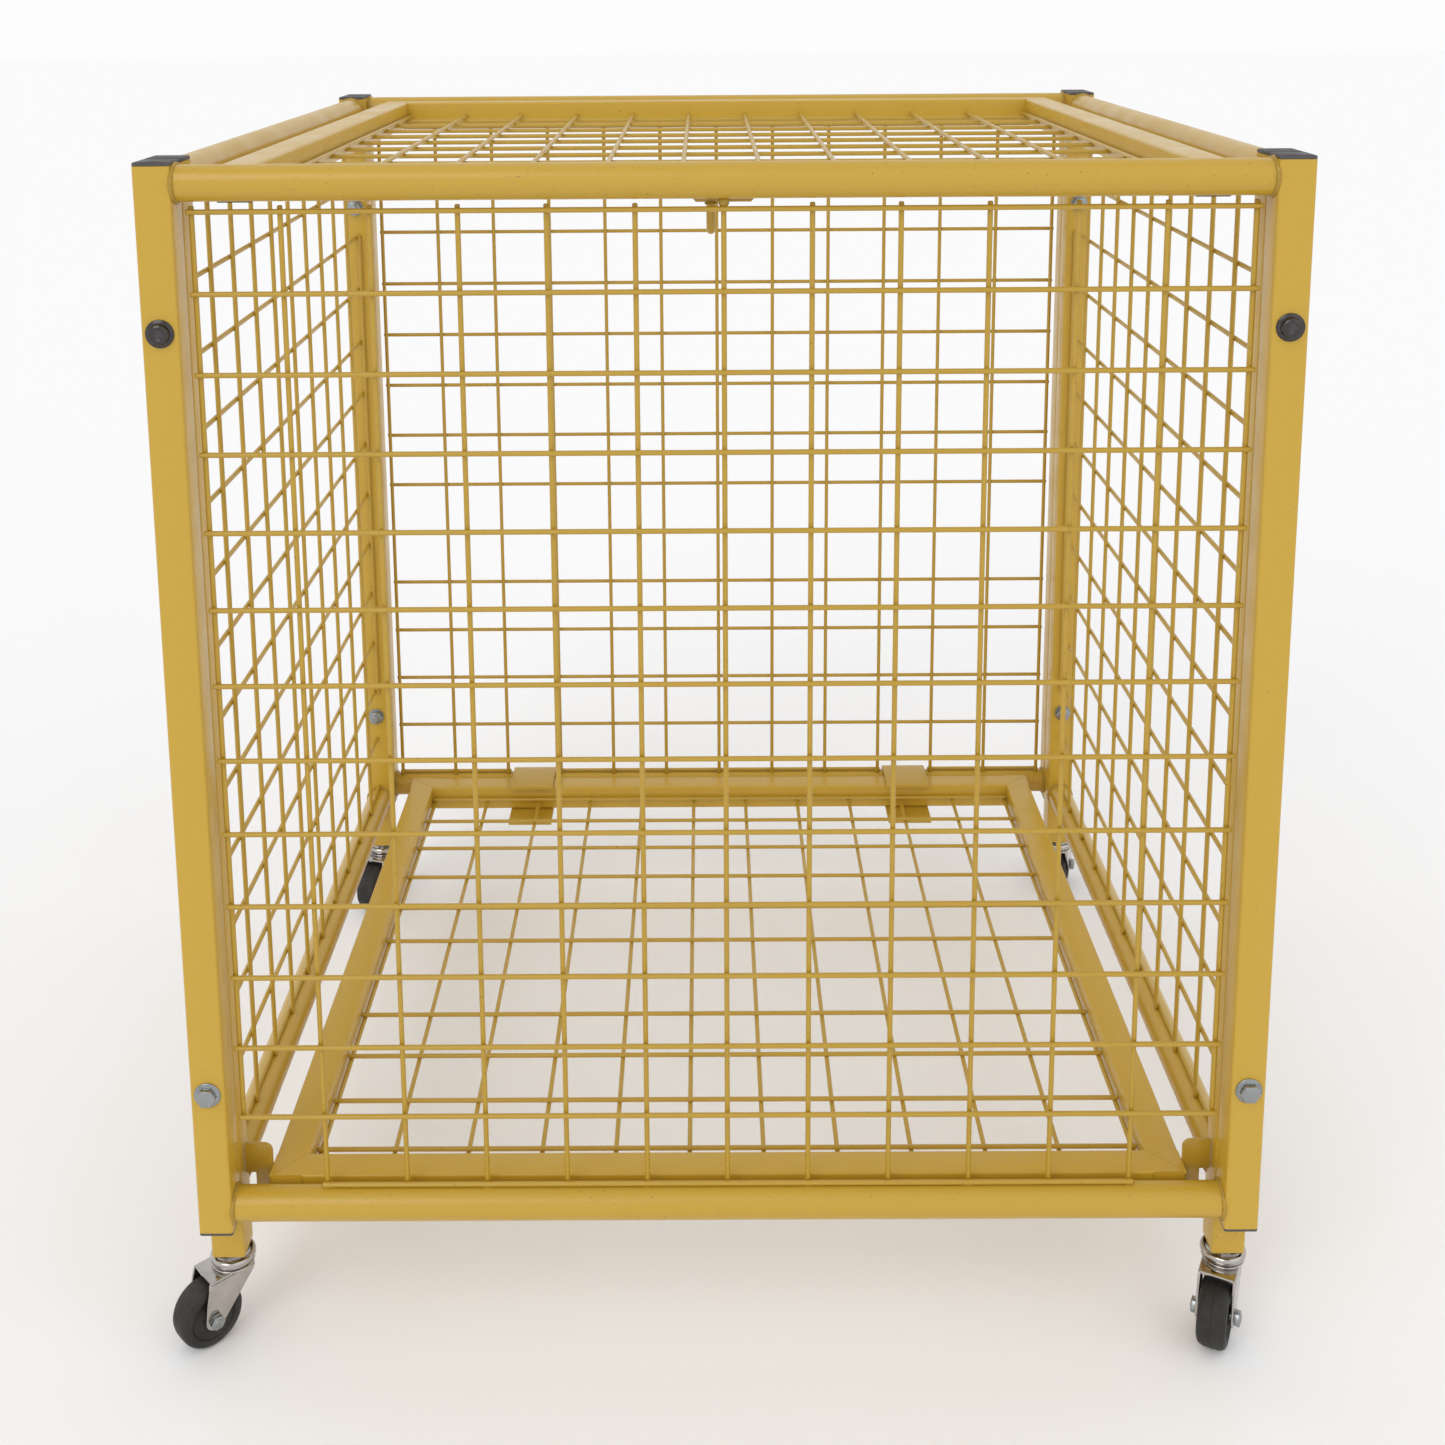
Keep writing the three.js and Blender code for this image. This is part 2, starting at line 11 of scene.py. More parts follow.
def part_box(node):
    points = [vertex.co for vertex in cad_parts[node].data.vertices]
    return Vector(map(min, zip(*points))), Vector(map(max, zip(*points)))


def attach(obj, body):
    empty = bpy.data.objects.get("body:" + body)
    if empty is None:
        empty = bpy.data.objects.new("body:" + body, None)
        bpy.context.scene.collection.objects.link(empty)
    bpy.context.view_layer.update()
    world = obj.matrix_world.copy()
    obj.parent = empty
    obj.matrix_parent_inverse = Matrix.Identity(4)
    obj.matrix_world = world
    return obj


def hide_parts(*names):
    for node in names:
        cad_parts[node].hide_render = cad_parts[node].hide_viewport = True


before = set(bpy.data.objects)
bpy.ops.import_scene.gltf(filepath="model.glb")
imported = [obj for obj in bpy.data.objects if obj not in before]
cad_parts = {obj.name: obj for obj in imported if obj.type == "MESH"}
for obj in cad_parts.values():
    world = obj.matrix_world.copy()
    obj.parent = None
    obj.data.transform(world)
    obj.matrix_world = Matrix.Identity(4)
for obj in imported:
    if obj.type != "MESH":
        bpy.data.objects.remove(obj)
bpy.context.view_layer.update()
random.seed(7)

MM = 0.001

# ---- sizes, worked out from the frame ----
FRONT_LOW, FRONT_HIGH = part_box("front_frame")
REAR_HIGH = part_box("rear_frame")[1]
SIDE_LOW, SIDE_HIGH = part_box("right_side_frame")
LID_LOW, LID_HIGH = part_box("lid_frame")
FLOOR_LOW, FLOOR_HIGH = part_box("floor_frame")
TUBE = FRONT_HIGH.y - FRONT_LOW.y
WALL = 1.6 * MM
CORNER = 2.4 * MM                      # outside corner radius of the square tubes
POST_X = FRONT_HIGH.x - TUBE / 2
POST_Y = REAR_HIGH.y - TUBE / 2
SIDE_Y = SIDE_HIGH.y - TUBE / 2
RAIL_R = TUBE / 2
RAIL_INSET = 20 * MM                   # from the posts' lower ends up to the middle of the low rail
RAIL_LOW = FRONT_LOW.z + RAIL_INSET
RAIL_HIGH = FRONT_HIGH.z - RAIL_R
GAP = 0.4 * MM                         # left between pieces that touch
SINK = 1 * MM                          # how far a welded end goes into its neighbour

WIRE_R = 2.4 * MM
WIRE_END = 1.6 * MM                    # rounding of a cut end of wire
BAR = 6 * MM                           # the CAD lattice's bars
LAYER = 4.4 * MM                       # between the two crossed layers, pressed together by welding
TOP_OVER = 5 * MM                      # the upright wires pass the top level wire by this
FOOT_OVER = 0.6 * MM                   # and the bottom one's underside by this
ROW_COUNT = 14
COLUMN_COUNT = 13
SIDE_COLUMN_COUNT = 11
PANEL_WIRE_COUNT = 12
PANEL_ROW_COUNT = 10
NUT_ROWS = (2, 11)                     # the side panels' edge wires run only between these rows
LID_ROW_PITCH = 76.6 * MM
LID_ROW_MIDDLE = 10.3 * MM
FLOOR_ROW_PITCH = 75.1 * MM
FLOOR_ROW_MIDDLE = -21.4 * MM
FLOOR_REAR_ROW = 380 * MM              # one more cross wire close to the floor's rear tube
STRAP_X = 266.7 * MM                   # the floor's hinge straps
STRAP_T = 5 * MM
STRAP_TOP_FRONT = 377 * MM             # front ends of a strap's upper and lower leaves
STRAP_LOW_FRONT = 347 * MM
LID_BAR = 25 * MM                      # the lid's front tube, which is smaller than the other three
LID_BAR_DROP = 2 * MM                  # its top lies this far below theirs
WELD_R = 2.0 * MM                      # weld bead round the end of a rail


# ---- materials ----
class Nodes:
    """A small helper that adds linked shader nodes to one material."""

    def __init__(self, name):
        self.material = bpy.data.materials.new(name)
        self.material.use_nodes = True
        self.tree = self.material.node_tree
        self.shader = self.tree.nodes["Principled BSDF"]
        self.coords = self.add("ShaderNodeTexCoord").outputs["Object"]

    def add(self, kind, **inputs):
        node = self.tree.nodes.new(kind)
        for key, value in inputs.items():
            socket = node.inputs[key.replace("_", " ")]
            if isinstance(value, bpy.types.NodeSocket):
                self.tree.links.new(value, socket)
            else:
                socket.default_value = value
        return node

    def noise(self, scale, detail=3.0, rough=0.55):
        node = self.add("ShaderNodeTexNoise", Vector=self.coords, Scale=scale, Detail=detail)
        node.inputs["Roughness"].default_value = rough
        return node.outputs["Fac"]

    def ramp(self, factor, low, high, first, last):
        node = self.add("ShaderNodeValToRGB", Fac=factor)
        stops = node.color_ramp.elements
        stops[0].position, stops[1].position = low, high
        stops[0].color, stops[1].color = (*first, 1), (*last, 1)
        return node.outputs["Color"]

    def mix(self, factor, first, second):
        node = self.tree.nodes.new("ShaderNodeMix")
        node.data_type = "RGBA"
        for socket, value in zip((node.inputs[0], node.inputs[6], node.inputs[7]), (factor, first, second)):
            if isinstance(value, bpy.types.NodeSocket):
                self.tree.links.new(value, socket)
            else:
                socket.default_value = value
        return node.outputs[2]

    def span(self, factor, low, high):
        node = self.add("ShaderNodeMapRange", Value=factor)
        node.inputs["From Min"].default_value = 0.3
        node.inputs["From Max"].default_value = 0.7
        node.inputs["To Min"].default_value = low
        node.inputs["To Max"].default_value = high
        return node.outputs["Result"]

    def edges(self, low, high):
        point = self.add("ShaderNodeNewGeometry").outputs["Pointiness"]
        return self.ramp(point, low, high, (0, 0, 0), (1, 1, 1))

    def bump(self, height, strength, distance, below=None):
        node = self.add("ShaderNodeBump", Height=height)
        node.inputs["Strength"].default_value = strength
        node.inputs["Distance"].default_value = distance
        if below is not None:
            self.tree.links.new(below, node.inputs["Normal"])
        return node.outputs["Normal"]

    def link(self, **inputs):
        for key, value in inputs.items():
            socket = self.shader.inputs[key.replace("_", " ")]
            if isinstance(value, bpy.types.NodeSocket):
                self.tree.links.new(value, socket)
            else:
                socket.default_value = value
        return self.material


def shade(color, k):
    return tuple(min(1.0, c * k) for c in color)


def paint_material():
    """Glossy yellow coating: cloudy tone, fine orange peel, a painted highlight on sharp edges, dark
    specks.
    """
    n = Nodes("yellow_coating")
    base = (0.428, 0.265, 0.021)
    cloud = n.ramp(n.noise(7.0, 4.0), 0.3, 0.7, shade(base, 0.92), shade(base, 1.06))
    fine = n.ramp(n.noise(160.0, 4.0), 0.35, 0.65, shade(base, 0.93), shade(base, 1.05))
    color = n.mix(0.4, cloud, fine)
    # painted highlight: sharp edges are coloured a lighter yellow, 1.28 times the base
    edge_highlight = n.edges(0.515, 0.60)
    color = n.mix(edge_highlight, color, (*shade(base, 1.28), 1))
    speck = n.ramp(n.noise(420.0, 2.0), 0.24, 0.30, (1, 1, 1), (0, 0, 0))
    color = n.mix(speck, color, (0.13, 0.08, 0.015, 1))
    peel = n.bump(n.noise(620.0, 2.0), 0.16, 0.0004)
    normal = n.bump(n.noise(38.0, 3.0), 0.10, 0.0010, peel)
    return n.link(Base_Color=color, Roughness=n.span(n.noise(24.0), 0.30, 0.46), Normal=normal,
                  Coat_Weight=0.22, Coat_Roughness=0.16, Metallic=0.0)


def weld_material():
    """Coating over welds, browner and rougher than the plain tube."""
    n = Nodes("coated_weld")
    base = (0.40, 0.245, 0.024)
    color = n.ramp(n.noise(260.0, 4.0), 0.3, 0.7, shade(base, 0.84), shade(base, 1.10))
    normal = n.bump(n.noise(420.0, 3.0), 0.5, 0.0006)
    return n.link(Base_Color=color, Roughness=n.span(n.noise(90.0), 0.34, 0.55), Normal=normal)


def plastic_material():
    n = Nodes("cap_plastic")
    color = n.ramp(n.noise(60.0, 5.0), 0.3, 0.7, (0.018, 0.016, 0.016), (0.036, 0.031, 0.031))
    color = n.mix(n.edges(0.52, 0.62), color, (0.11, 0.10, 0.10, 1))
    normal = n.bump(n.noise(900.0, 2.0), 0.25, 0.0003)
    return n.link(Base_Color=color, Roughness=n.span(n.noise(45.0), 0.42, 0.62), Normal=normal)


def metal_material(name, base, low, high, grain):
    """Plated steel: cloudy reflections, fine scratches and a painted highlight on sharp edges."""
    n = Nodes(name)
    color = n.ramp(n.noise(55.0, 4.0), 0.3, 0.7, shade(base, 0.82), shade(base, 1.1))
    # painted highlight: sharp edges are coloured 1.35 times the base tint
    color = n.mix(n.edges(0.52, 0.62), color, (*shade(base, 1.35), 1))
    normal = n.bump(n.noise(grain, 3.0), 0.12, 0.0003)
    return n.link(Base_Color=color, Metallic=1.0, Normal=normal,
                  Roughness=n.span(n.noise(80.0), low, high))


def rubber_material():
    n = Nodes("wheel_tread")
    color = n.ramp(n.noise(70.0, 5.0), 0.3, 0.7, (0.008, 0.007, 0.005), (0.020, 0.018, 0.014))
    dust = n.ramp(n.noise(22.0, 6.0), 0.55, 0.8, (0, 0, 0), (0.28, 0.28, 0.28))
    color = n.mix(dust, color, (0.10, 0.09, 0.08, 1))
    normal = n.bump(n.noise(650.0, 3.0), 0.3, 0.0004)
    return n.link(Base_Color=color, Roughness=n.span(n.noise(40.0), 0.48, 0.72), Normal=normal)


PAINT = paint_material()
WELD = weld_material()
PLASTIC = plastic_material()
CHROME = metal_material("caster_plating", (0.46, 0.435, 0.41), 0.07, 0.18, 420.0)
ZINC = metal_material("bolt_zinc", (0.30, 0.315, 0.315), 0.16, 0.30, 520.0)
DARK = metal_material("bolt_dark", (0.072, 0.066, 0.066), 0.12, 0.26, 520.0)
RUBBER = rubber_material()


# ---- mesh building ----
class Build:
    """Collects closed shapes for one piece. Shapes are placed by the matrix m."""

    def __init__(self, m=None):
        self.points = []
        self.faces = []
        self.slots = []
        self.m = m or Matrix.Identity(4)
        self.slot = 0

    def add(self, points, faces):
        first = len(self.points)
        self.points += [self.m @ Vector(p) for p in points]
        self.faces += [[first + i for i in face] for face in faces]
        self.slots += [self.slot] * len(faces)

    def loft(self, rings, closed=False):
        """Skins equal rings in order, with flat ends, or back to the first ring when closed."""
        size = len(rings[0])
        points = [p for ring in rings for p in ring]
        pairs = [(i, i + 1) for i in range(len(rings) - 1)]
        if closed:
            pairs.append((len(rings) - 1, 0))
        faces = [[a * size + j, a * size + (j + 1) % size, b * size + (j + 1) % size, b * size + j]
                 for a, b in pairs for j in range(size)]
        if not closed:
            last = (len(rings) - 1) * size
            faces.append(list(range(size))[::-1])
            faces.append([last + j for j in range(size)])
        self.add(points, faces)

    def along(self, a, b, sections, outline):
        """Rings of outline(scale) at distances from a towards b. sections holds (distance, scale)."""
        a, b = Vector(a), Vector(b)
        way = (b - a).normalized()
        u, v = across(way)
        rings = []
        for distance, scale in sections:
            here = a + way * distance
            rings.append([here + u * p + v * q for p, q in outline(scale)])
        self.loft(rings)

    def rod(self, a, b, radius, sides=32, end=0.0):
        """A round bar whose ends are rounded over the length end."""
        length = (Vector(b) - Vector(a)).length
        soft = [(0, 0.62), (0.22 * end, 0.86), (0.6 * end, 0.97), (end, 1.0)] if end else [(0, 1.0)]
        sections = soft + [(length - d, s) for d, s in reversed(soft)]
        self.along(a, b, sections, lambda s: circle(radius * s, sides))

    def tube(self, a, b, size, wall=WALL, corner=CORNER):
        """A square hollow tube with rounded corners."""
        a, b = Vector(a), Vector(b)
        way = (b - a).normalized()
        u, v = across(way)
        outer = rounded_square(size, corner)
        inner = rounded_square(size - 2 * wall, max(corner - wall, 0.4 * MM))
        rings = []
        for place, outline in ((a, outer), (b, outer), (b, inner), (a, inner)):
            rings.append([place + u * p + v * q for p, q in outline])
        self.loft(rings, closed=True)

    def turned(self, profile, axis="z", sides=48, at=(0, 0, 0)):
        """Turns a closed (radius, height) profile about an axis through the point at."""
        u, v, w = axes(axis)
        rings = []
        for k in range(sides):
            a = 2 * math.pi * k / sides
            way = u * math.cos(a) + v * math.sin(a)
            rings.append([Vector(at) + way * max(r, 1e-6) + w * h for r, h in profile])
        self.loft(rings, closed=True)

    def prism(self, outline, axis, low, high):
        """Pushes an outline in the plane across an axis from low to high."""
        u, v, w = axes(axis)
        self.loft([[u * p + v * q + w * h for p, q in outline] for h in (low, high)])

    def sweep(self, path, radius, sides=12, closed=False, ripple=0.0):
        """A round bar along a path, with an optional ripple of its radius, as a weld bead has."""
        count = len(path)
        path = [Vector(p) for p in path]
        rings = []
        side = None
        for i, here in enumerate(path):
            before = path[i - 1] if closed or i else here
            after = path[(i + 1) % count] if closed or i + 1 < count else here
            way = (after - before).normalized()
            side = across(way)[0] if side is None else (side - way * side.dot(way)).normalized()
            up = way.cross(side)
            r = radius * (1 + ripple * math.sin(i * 2.4) + ripple * random.uniform(-0.5, 0.5))
            rings.append([here + side * p + up * q for p, q in circle(r, sides)])
        self.loft(rings, closed=closed)

    def blob(self, at, size):
        """A small lump of weld metal."""
        sides, levels = 12, 7
        at = Vector(at)
        rings = []
        for k in range(levels):
            a = math.pi * (k + 0.5) / levels
            r, h = math.sin(a), -math.cos(a)
            wobble = random.uniform(0.92, 1.08)
            rings.append([at + Vector((p * r * size[0] * wobble, q * r * size[1] * wobble, h * size[2]))
                          for p, q in circle(1.0, sides)])
        self.loft(rings)

    def piece(self, name, body, slot, materials, nodes, bevel=0.0, smooth=40, steps=2):
        """Makes the object, rides it on its body and lets it stand for its CAD nodes."""
        mesh = bpy.data.meshes.new(name)
        mesh.from_pydata([tuple(p) for p in self.points], [], self.faces)
        for face, index in zip(mesh.polygons, self.slots):
            face.material_index = index
        work = bmesh.new()
        work.from_mesh(mesh)
        bmesh.ops.recalc_face_normals(work, faces=work.faces)
        if bevel:
            sharp = [e for e in work.edges
                     if e.is_manifold and e.calc_face_angle(0) > math.radians(smooth)]
            bmesh.ops.bevel(work, geom=sharp, offset=bevel, segments=steps, profile=0.5,
                            affect="EDGES", clamp_overlap=True)
        work.to_mesh(mesh)
        work.free()
        mesh.shade_smooth()
        mesh.set_sharp_from_angle(angle=math.radians(smooth))
        for material in materials:
            mesh.materials.append(material)
        made = bpy.data.objects.new(name, mesh)
        bpy.context.scene.collection.objects.link(made)
        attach(made, body)
        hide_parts(*nodes)
        return made


def across(way):
    """Two directions square to a way. For ways along an axis both lie along the other axes."""
    helper = Vector((0, 0, 1)) if abs(way.z) < 0.9 else Vector((0, 1, 0))
    u = way.cross(helper).normalized()
    return u, way.cross(u)


def axes(name):
    x, y, z = Vector((1, 0, 0)), Vector((0, 1, 0)), Vector((0, 0, 1))
    return {"x": (y, z, x), "y": (x, z, y), "z": (x, y, z)}[name]


def circle(radius, sides):
    return [(radius * math.cos(2 * math.pi * k / sides), radius * math.sin(2 * math.pi * k / sides))
            for k in range(sides)]


def arc(middle, radius, first, last, steps):
    """Points on a circle in a plane, angles in degrees."""
    angles = [math.radians(first + (last - first) * k / steps) for k in range(steps + 1)]
    return [(middle[0] + radius * math.cos(a), middle[1] + radius * math.sin(a)) for a in angles]


def rounded_square(size, radius, steps=4):
    inner = size / 2 - radius
    points = []
    for k, (x, y) in enumerate(((1, 1), (-1, 1), (-1, -1), (1, -1))):
        points += arc((x * inner, y * inner), radius, 90 * k, 90 * k + 90, steps)
    return points


def spaced(count, pitch, middle=0.0):
    return [middle + (i - (count - 1) / 2) * pitch for i in range(count)]


def steps_between(low, high, count):
    return [low + (high - low) * i / (count - 1) for i in range(count)]


# ---- wall frames ----
def ring_bead(build, centre, axis, radius):
    """The weld round the end of a rail, where it meets the flat of a post."""
    u, v = axes(axis)[:2]
    path = [Vector(centre) + u * p + v * q for p, q in circle(radius, 44)]
    build.slot = 1
    build.sweep(path, WELD_R, 8, closed=True, ripple=0.16)
    build.slot = 0


def wall_frame(name):
    low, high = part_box(name)
    lengthwise = "x" if high.x - low.x > high.y - low.y else "y"
    half = (high.x if lengthwise == "x" else high.y) - TUBE / 2
    across_at = (low.y + high.y) / 2 if lengthwise == "x" else (low.x + high.x) / 2

    def place(u, z):
        return (u, across_at, z) if lengthwise == "x" else (across_at, u, z)

    build = Build()
    for u in (-half, half):
        build.tube(place(u, low.z), place(u, high.z), TUBE)
    inner = half - TUBE / 2
    for z in (RAIL_LOW, RAIL_HIGH):
        build.rod(place(-inner - SINK, z), place(inner + SINK, z), RAIL_R, 56)
        for u in (-inner, inner):
            ring_bead(build, place(u - math.copysign(0.6 * MM, u), z), lengthwise, RAIL_R + 0.3 * MM)
    build.piece(f"fine_{name}", "cage", "coating", [PAINT, WELD], [name])


# ---- wire panels ----
class Panel:
    """Two crossed layers of round wire. place(u, v, w) maps the panel's plane, w outwards."""

    def __init__(self, place):
        self.place = place
        self.build = Build()

    def wire(self, a, b, w):
        self.build.rod(self.place(*a, w), self.place(*b, w), WIRE_R, 14, end=WIRE_END)

    def lump(self, u, v, w, size):
        self.build.slot = 1
        self.build.blob(self.place(u, v, w), size)
        self.build.slot = 0

    def finish(self, name, body):
        self.build.piece(f"fine_{name}", body, "coating", [PAINT, WELD], [name], smooth=60)


def wall_rows():
    low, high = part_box("front_mesh")
    return steps_between(low.z + BAR / 2, high.z - BAR / 2, ROW_COUNT)


def end_panel(name, side):
    """Front or rear panel: level wires outside, upright wires inside."""
    low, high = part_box(name)
    columns = steps_between(low.x + BAR / 2, high.x - BAR / 2, COLUMN_COUNT)
    rows = wall_rows()
    panel = Panel(lambda u, v, w: (u, side * (POST_Y + w), v))
    pitch = columns[1] - columns[0]
    over = WIRE_R + 1.4 * MM
    foot = rows[0] - WIRE_R - FOOT_OVER
    for j, z in enumerate(rows):
        spans = [(columns[0] - over, columns[-1] + over)]
        if j == 0 and side < 0:        # the front's lowest wire ends one column in from each side
            spans = [(columns[1] - over, columns[-2] + over)]
        if j == 0 and side > 0:        # the rear's lowest wire leaves room for the floor's straps
            stops = [columns[0] - over]
            for cut in (-STRAP_X, STRAP_X):
                stops += [cut - pitch / 2 + over, cut + pitch / 2 - over]
            stops.append(columns[-1] + over)
            spans = list(zip(stops[0::2], stops[1::2]))
        for a, b in spans:
            panel.wire((a, z), (b, z), 0)
    for i, x in enumerate(columns):
        edge = i in (0, COLUMN_COUNT - 1)
        bottom = rows[1] - over if edge and side < 0 else foot
        panel.wire((x, bottom), (x, rows[-1] + TOP_OVER), -LAYER)
    if side < 0:
        panel.lump(0, rows[-1] + 6 * MM, -LAYER / 2, (5 * MM, 4 * MM, 5 * MM))
    crest = RAIL_LOW + RAIL_R + 0.4 * MM   # weld on top of the low rail, at every other wire
    for i, x in enumerate(columns[1:-1]):
        if i % 2 == 0:
            panel.lump(x, crest, -1.5 * MM, (5 * MM, 3.5 * MM, 2.6 * MM))
    panel.finish(name, "cage")


def side_panel(name, side):
    low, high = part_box(name)
    columns = steps_between(low.y + BAR / 2, high.y - BAR / 2, SIDE_COLUMN_COUNT)
    rows = wall_rows()
    panel = Panel(lambda u, v, w: (side * (POST_X + w), u, v))
    over = WIRE_R + 0.9 * MM
    for j, z in enumerate(rows):
        panel.wire((columns[0] - over, z), (columns[-1] + over, z), 0)
        if j % 3 == 1:
            for y in (columns[0] - over, columns[-1] + over):
                panel.lump(y, z, 0, (2.6 * MM, 2.6 * MM, 3.4 * MM))
    for i, y in enumerate(columns):
        edge = i in (0, SIDE_COLUMN_COUNT - 1)
        bottom = rows[NUT_ROWS[0]] - over if edge else rows[0] - WIRE_R - FOOT_OVER
        top = rows[NUT_ROWS[1]] + over if edge else rows[-1] + TOP_OVER
        panel.wire((y, bottom), (y, top), -LAYER)
    panel.finish(name, "cage")


def level_panel(name, body, rows, ends, height, below):
    """Lid or floor panel: front-to-back wires above or below the cross wires."""
    low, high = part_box(name)
    columns = steps_between(low.x + BAR / 2, high.x - BAR / 2, PANEL_WIRE_COUNT)
    panel = Panel(lambda u, v, w: (u, v, height + w))
    over = WIRE_R + 1.2 * MM
    for x in columns:
        panel.wire((x, ends[0]), (x, ends[1]), 0)
    for y in rows:
        panel.wire((columns[0] - over, y), (columns[-1] + over, y), -LAYER * below)
    panel.finish(name, body)


# ---- caps, plugs and bolts ----
BOLT_HEX = 16.4 * MM                   # across the flats
SHANK_R = 4.6 * MM


def cap(node, body, up=(0, 0, 1)):
    """A moulded cap: a crowned square head with soft edges and a ribbed plug."""
    low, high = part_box(node)
    middle = (low + high) / 2
    up = Vector(up)
    long_way = max(range(3), key=lambda k: abs(up[k]))
    top = (high if up[long_way] > 0 else low)[long_way]
    at = Vector(middle)
    at[long_way] = top
    turn = Vector((0, 0, 1)).rotation_difference(up).to_matrix().to_4x4()
    build = Build(Matrix.Translation(at) @ turn)
    head = 31.4 * MM
    levels = [(-3.0, 1.0, 1.2), (-0.9, 1.0, 1.6), (-0.25, 0.965, 2.0), (0.0, 0.91, 2.2)]
    build.loft([[(p, q, z * MM) for p, q in rounded_square(head * s, r * MM)] for z, s, r in levels])
    plug = 28.0 * MM
    for z in (-5.5, -8.5, -11.5):
        build.loft([[(p, q, h * MM) for p, q in rounded_square(plug - cut * MM, 1.2 * MM)]
                    for h, cut in ((z - 1.4, 0.6), (z - 0.5, 0.0), (z + 0.5, 0.0), (z + 1.4, 0.6))])
    core = rounded_square(plug - 2.4 * MM, 1 * MM)
    build.loft([[(p, q, h * MM) for p, q in core] for h in (-13.5, -2.9)])
    build.piece(f"fine_{node}", body, "cap_plastic", [PLASTIC], [node])


def hexagon(size):
    """A hexagon's corners, from its size across flats."""
    return circle(size / math.sqrt(3), 6)


def hex_part(build, size, low, high, dome):
    """A hex prism along Y whose corners are turned down at its outer end."""
    levels = [(low, 1.0), (high - dome, 1.0), (high - 0.35 * dome, 0.965), (high, 0.88)]
    if low > high:
        levels = [(low, 1.0), (high + dome, 1.0), (high + 0.35 * dome, 0.965), (high, 0.88)]
    build.loft([[(p, y, q) for p, q in hexagon(size * s)] for y, s in levels])


def bolt(node):
    """Flanged bolt, washer and nut. The bolt's axis is along Y, its head outwards."""
    low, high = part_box(node)
    side = -1 if low.y < 0 else 1
    x, z = (low.x + high.x) / 2, (low.z + high.z) / 2
    build = Build(Matrix.Translation((x, 0, z)) @ Matrix.Diagonal((1, side, 1, 1)))
    face = POST_Y + TUBE / 2
    back = SIDE_Y - TUBE / 2
    dark = "high" in node and side < 0
    bolt_head(build, face, dark)
    tip = back - 12.2 * MM
    build.turned([(SHANK_R, tip), (SHANK_R, face), (SHANK_R - 0.4 * MM, face), (SHANK_R - 0.4 * MM, tip)],
                 "y", 24)
    bolt_threads(build, back)
    build.turned([(5 * MM, back - 2 * MM), (11 * MM, back - 2 * MM), (11 * MM, back - GAP),
                  (5 * MM, back - GAP)], "y")
    hex_part(build, BOLT_HEX, back - 1.4 * MM, back - 9.2 * MM, 1.1 * MM)
    material = DARK if dark else ZINC
    build.piece(f"fine_{node}", "cage", "bolt_dark" if dark else "bolt_zinc", [material], [node],
                bevel=0.25 * MM, smooth=34)


def bolt_head(build, face, dark):
    """A flange, and on it a hex head or, on the dark bolts, a round one with a dimple."""
    flange = [(0, 0), (12.5, 0), (12.5, 1.1), (10.9, 1.9), (8.8, 2.6), (0, 2.6)]
    dome = [(0, 1), (9.4, 1), (9.4, 4.6), (8.7, 6.4), (7.2, 7.3), (5.0, 7.7), (4.2, 7.2), (0, 7.0)]
    build.turned([(r * MM, face + h * MM) for r, h in flange], "y")
    if dark:
        build.turned([(r * MM, face + h * MM) for r, h in dome], "y")
    else:
        hex_part(build, BOLT_HEX, face + 1 * MM, face + 7.7 * MM, 1.2 * MM)


def bolt_threads(build, back):
    """The bolt's threaded end, which stands out of the nut."""
    profile = [(0, back - 12.4 * MM), (4.0 * MM, back - 12.4 * MM)]
    for k in range(5):
        y = back - 12.0 * MM + k * 1.2 * MM
        profile += [(4.9 * MM, y + 0.3 * MM), (4.3 * MM, y + 0.9 * MM)]
    profile += [(SHANK_R, back - 5 * MM), (0, back - 5 * MM)]
    build.turned(profile, "y", 24)


# ---- lid ----
def seam(build, a, b):
    """A ground weld seam along a mitre or a butt joint."""
    a, b = Vector(a), Vector(b)
    path = [a.lerp(b, k / 14) for k in range(15)]
    build.sweep(path, 1.6 * MM, 10, ripple=0.12)


def corner_seams(build, x, y, low, high, inward):
    """Mitre seams on the top and underside of one corner of a square frame."""
    for z in (low, high):
        lift = 1.35 * MM if z == low else -1.35 * MM
        seam(build, (x, y, z + lift),
             (x + inward[0] * (TUBE - 1 * MM), y + inward[1] * (TUBE - 1 * MM), z + lift))


def lid():
    low, high = LID_LOW, LID_HIGH
    z = (low.z + high.z) / 2
    side = high.x - TUBE / 2
    build = Build()
    for x in (-side, side):
        build.tube((x, low.y, z), (x, high.y, z), TUBE)
    build.tube((-side, high.y - TUBE / 2, z), (side, high.y - TUBE / 2, z), TUBE - 0.1 * MM)
    bar = LID_BAR
    bar_z = high.z - LID_BAR_DROP - bar / 2
    inner = side - TUBE / 2
    build.tube((-inner - SINK, low.y + bar / 2, bar_z), (inner + SINK, low.y + bar / 2, bar_z), bar)
    for s in (-1, 1):
        corner_seams(build, s * high.x, high.y, low.z, high.z, (-s, -1))
        build.slot = 1
        for end in (low.y + 1.5 * MM, low.y + bar - 1.5 * MM):
            path = [(s * inner, end, bar_z + bar * t) for t in steps_between(-0.45, 0.45, 12)]
            build.sweep(path, 1.5 * MM, 8, ripple=0.2)
        build.slot = 0
    build.piece("fine_lid_frame", "lid", "coating", [PAINT, WELD], ["lid_frame"])

    rows = spaced(PANEL_ROW_COUNT, LID_ROW_PITCH, LID_ROW_MIDDLE)
    mesh_low, mesh_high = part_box("lid_mesh")
    level_panel("lid_mesh", "lid", rows, (mesh_low.y, mesh_high.y), mesh_high.z - 0.4 * MM, 1)
    for hand in ("left", "right"):
        cap(f"lid_{hand}_plug", "lid", (0, -1, 0))
        rail_strap(f"lid_{hand}_strap")
    lock()


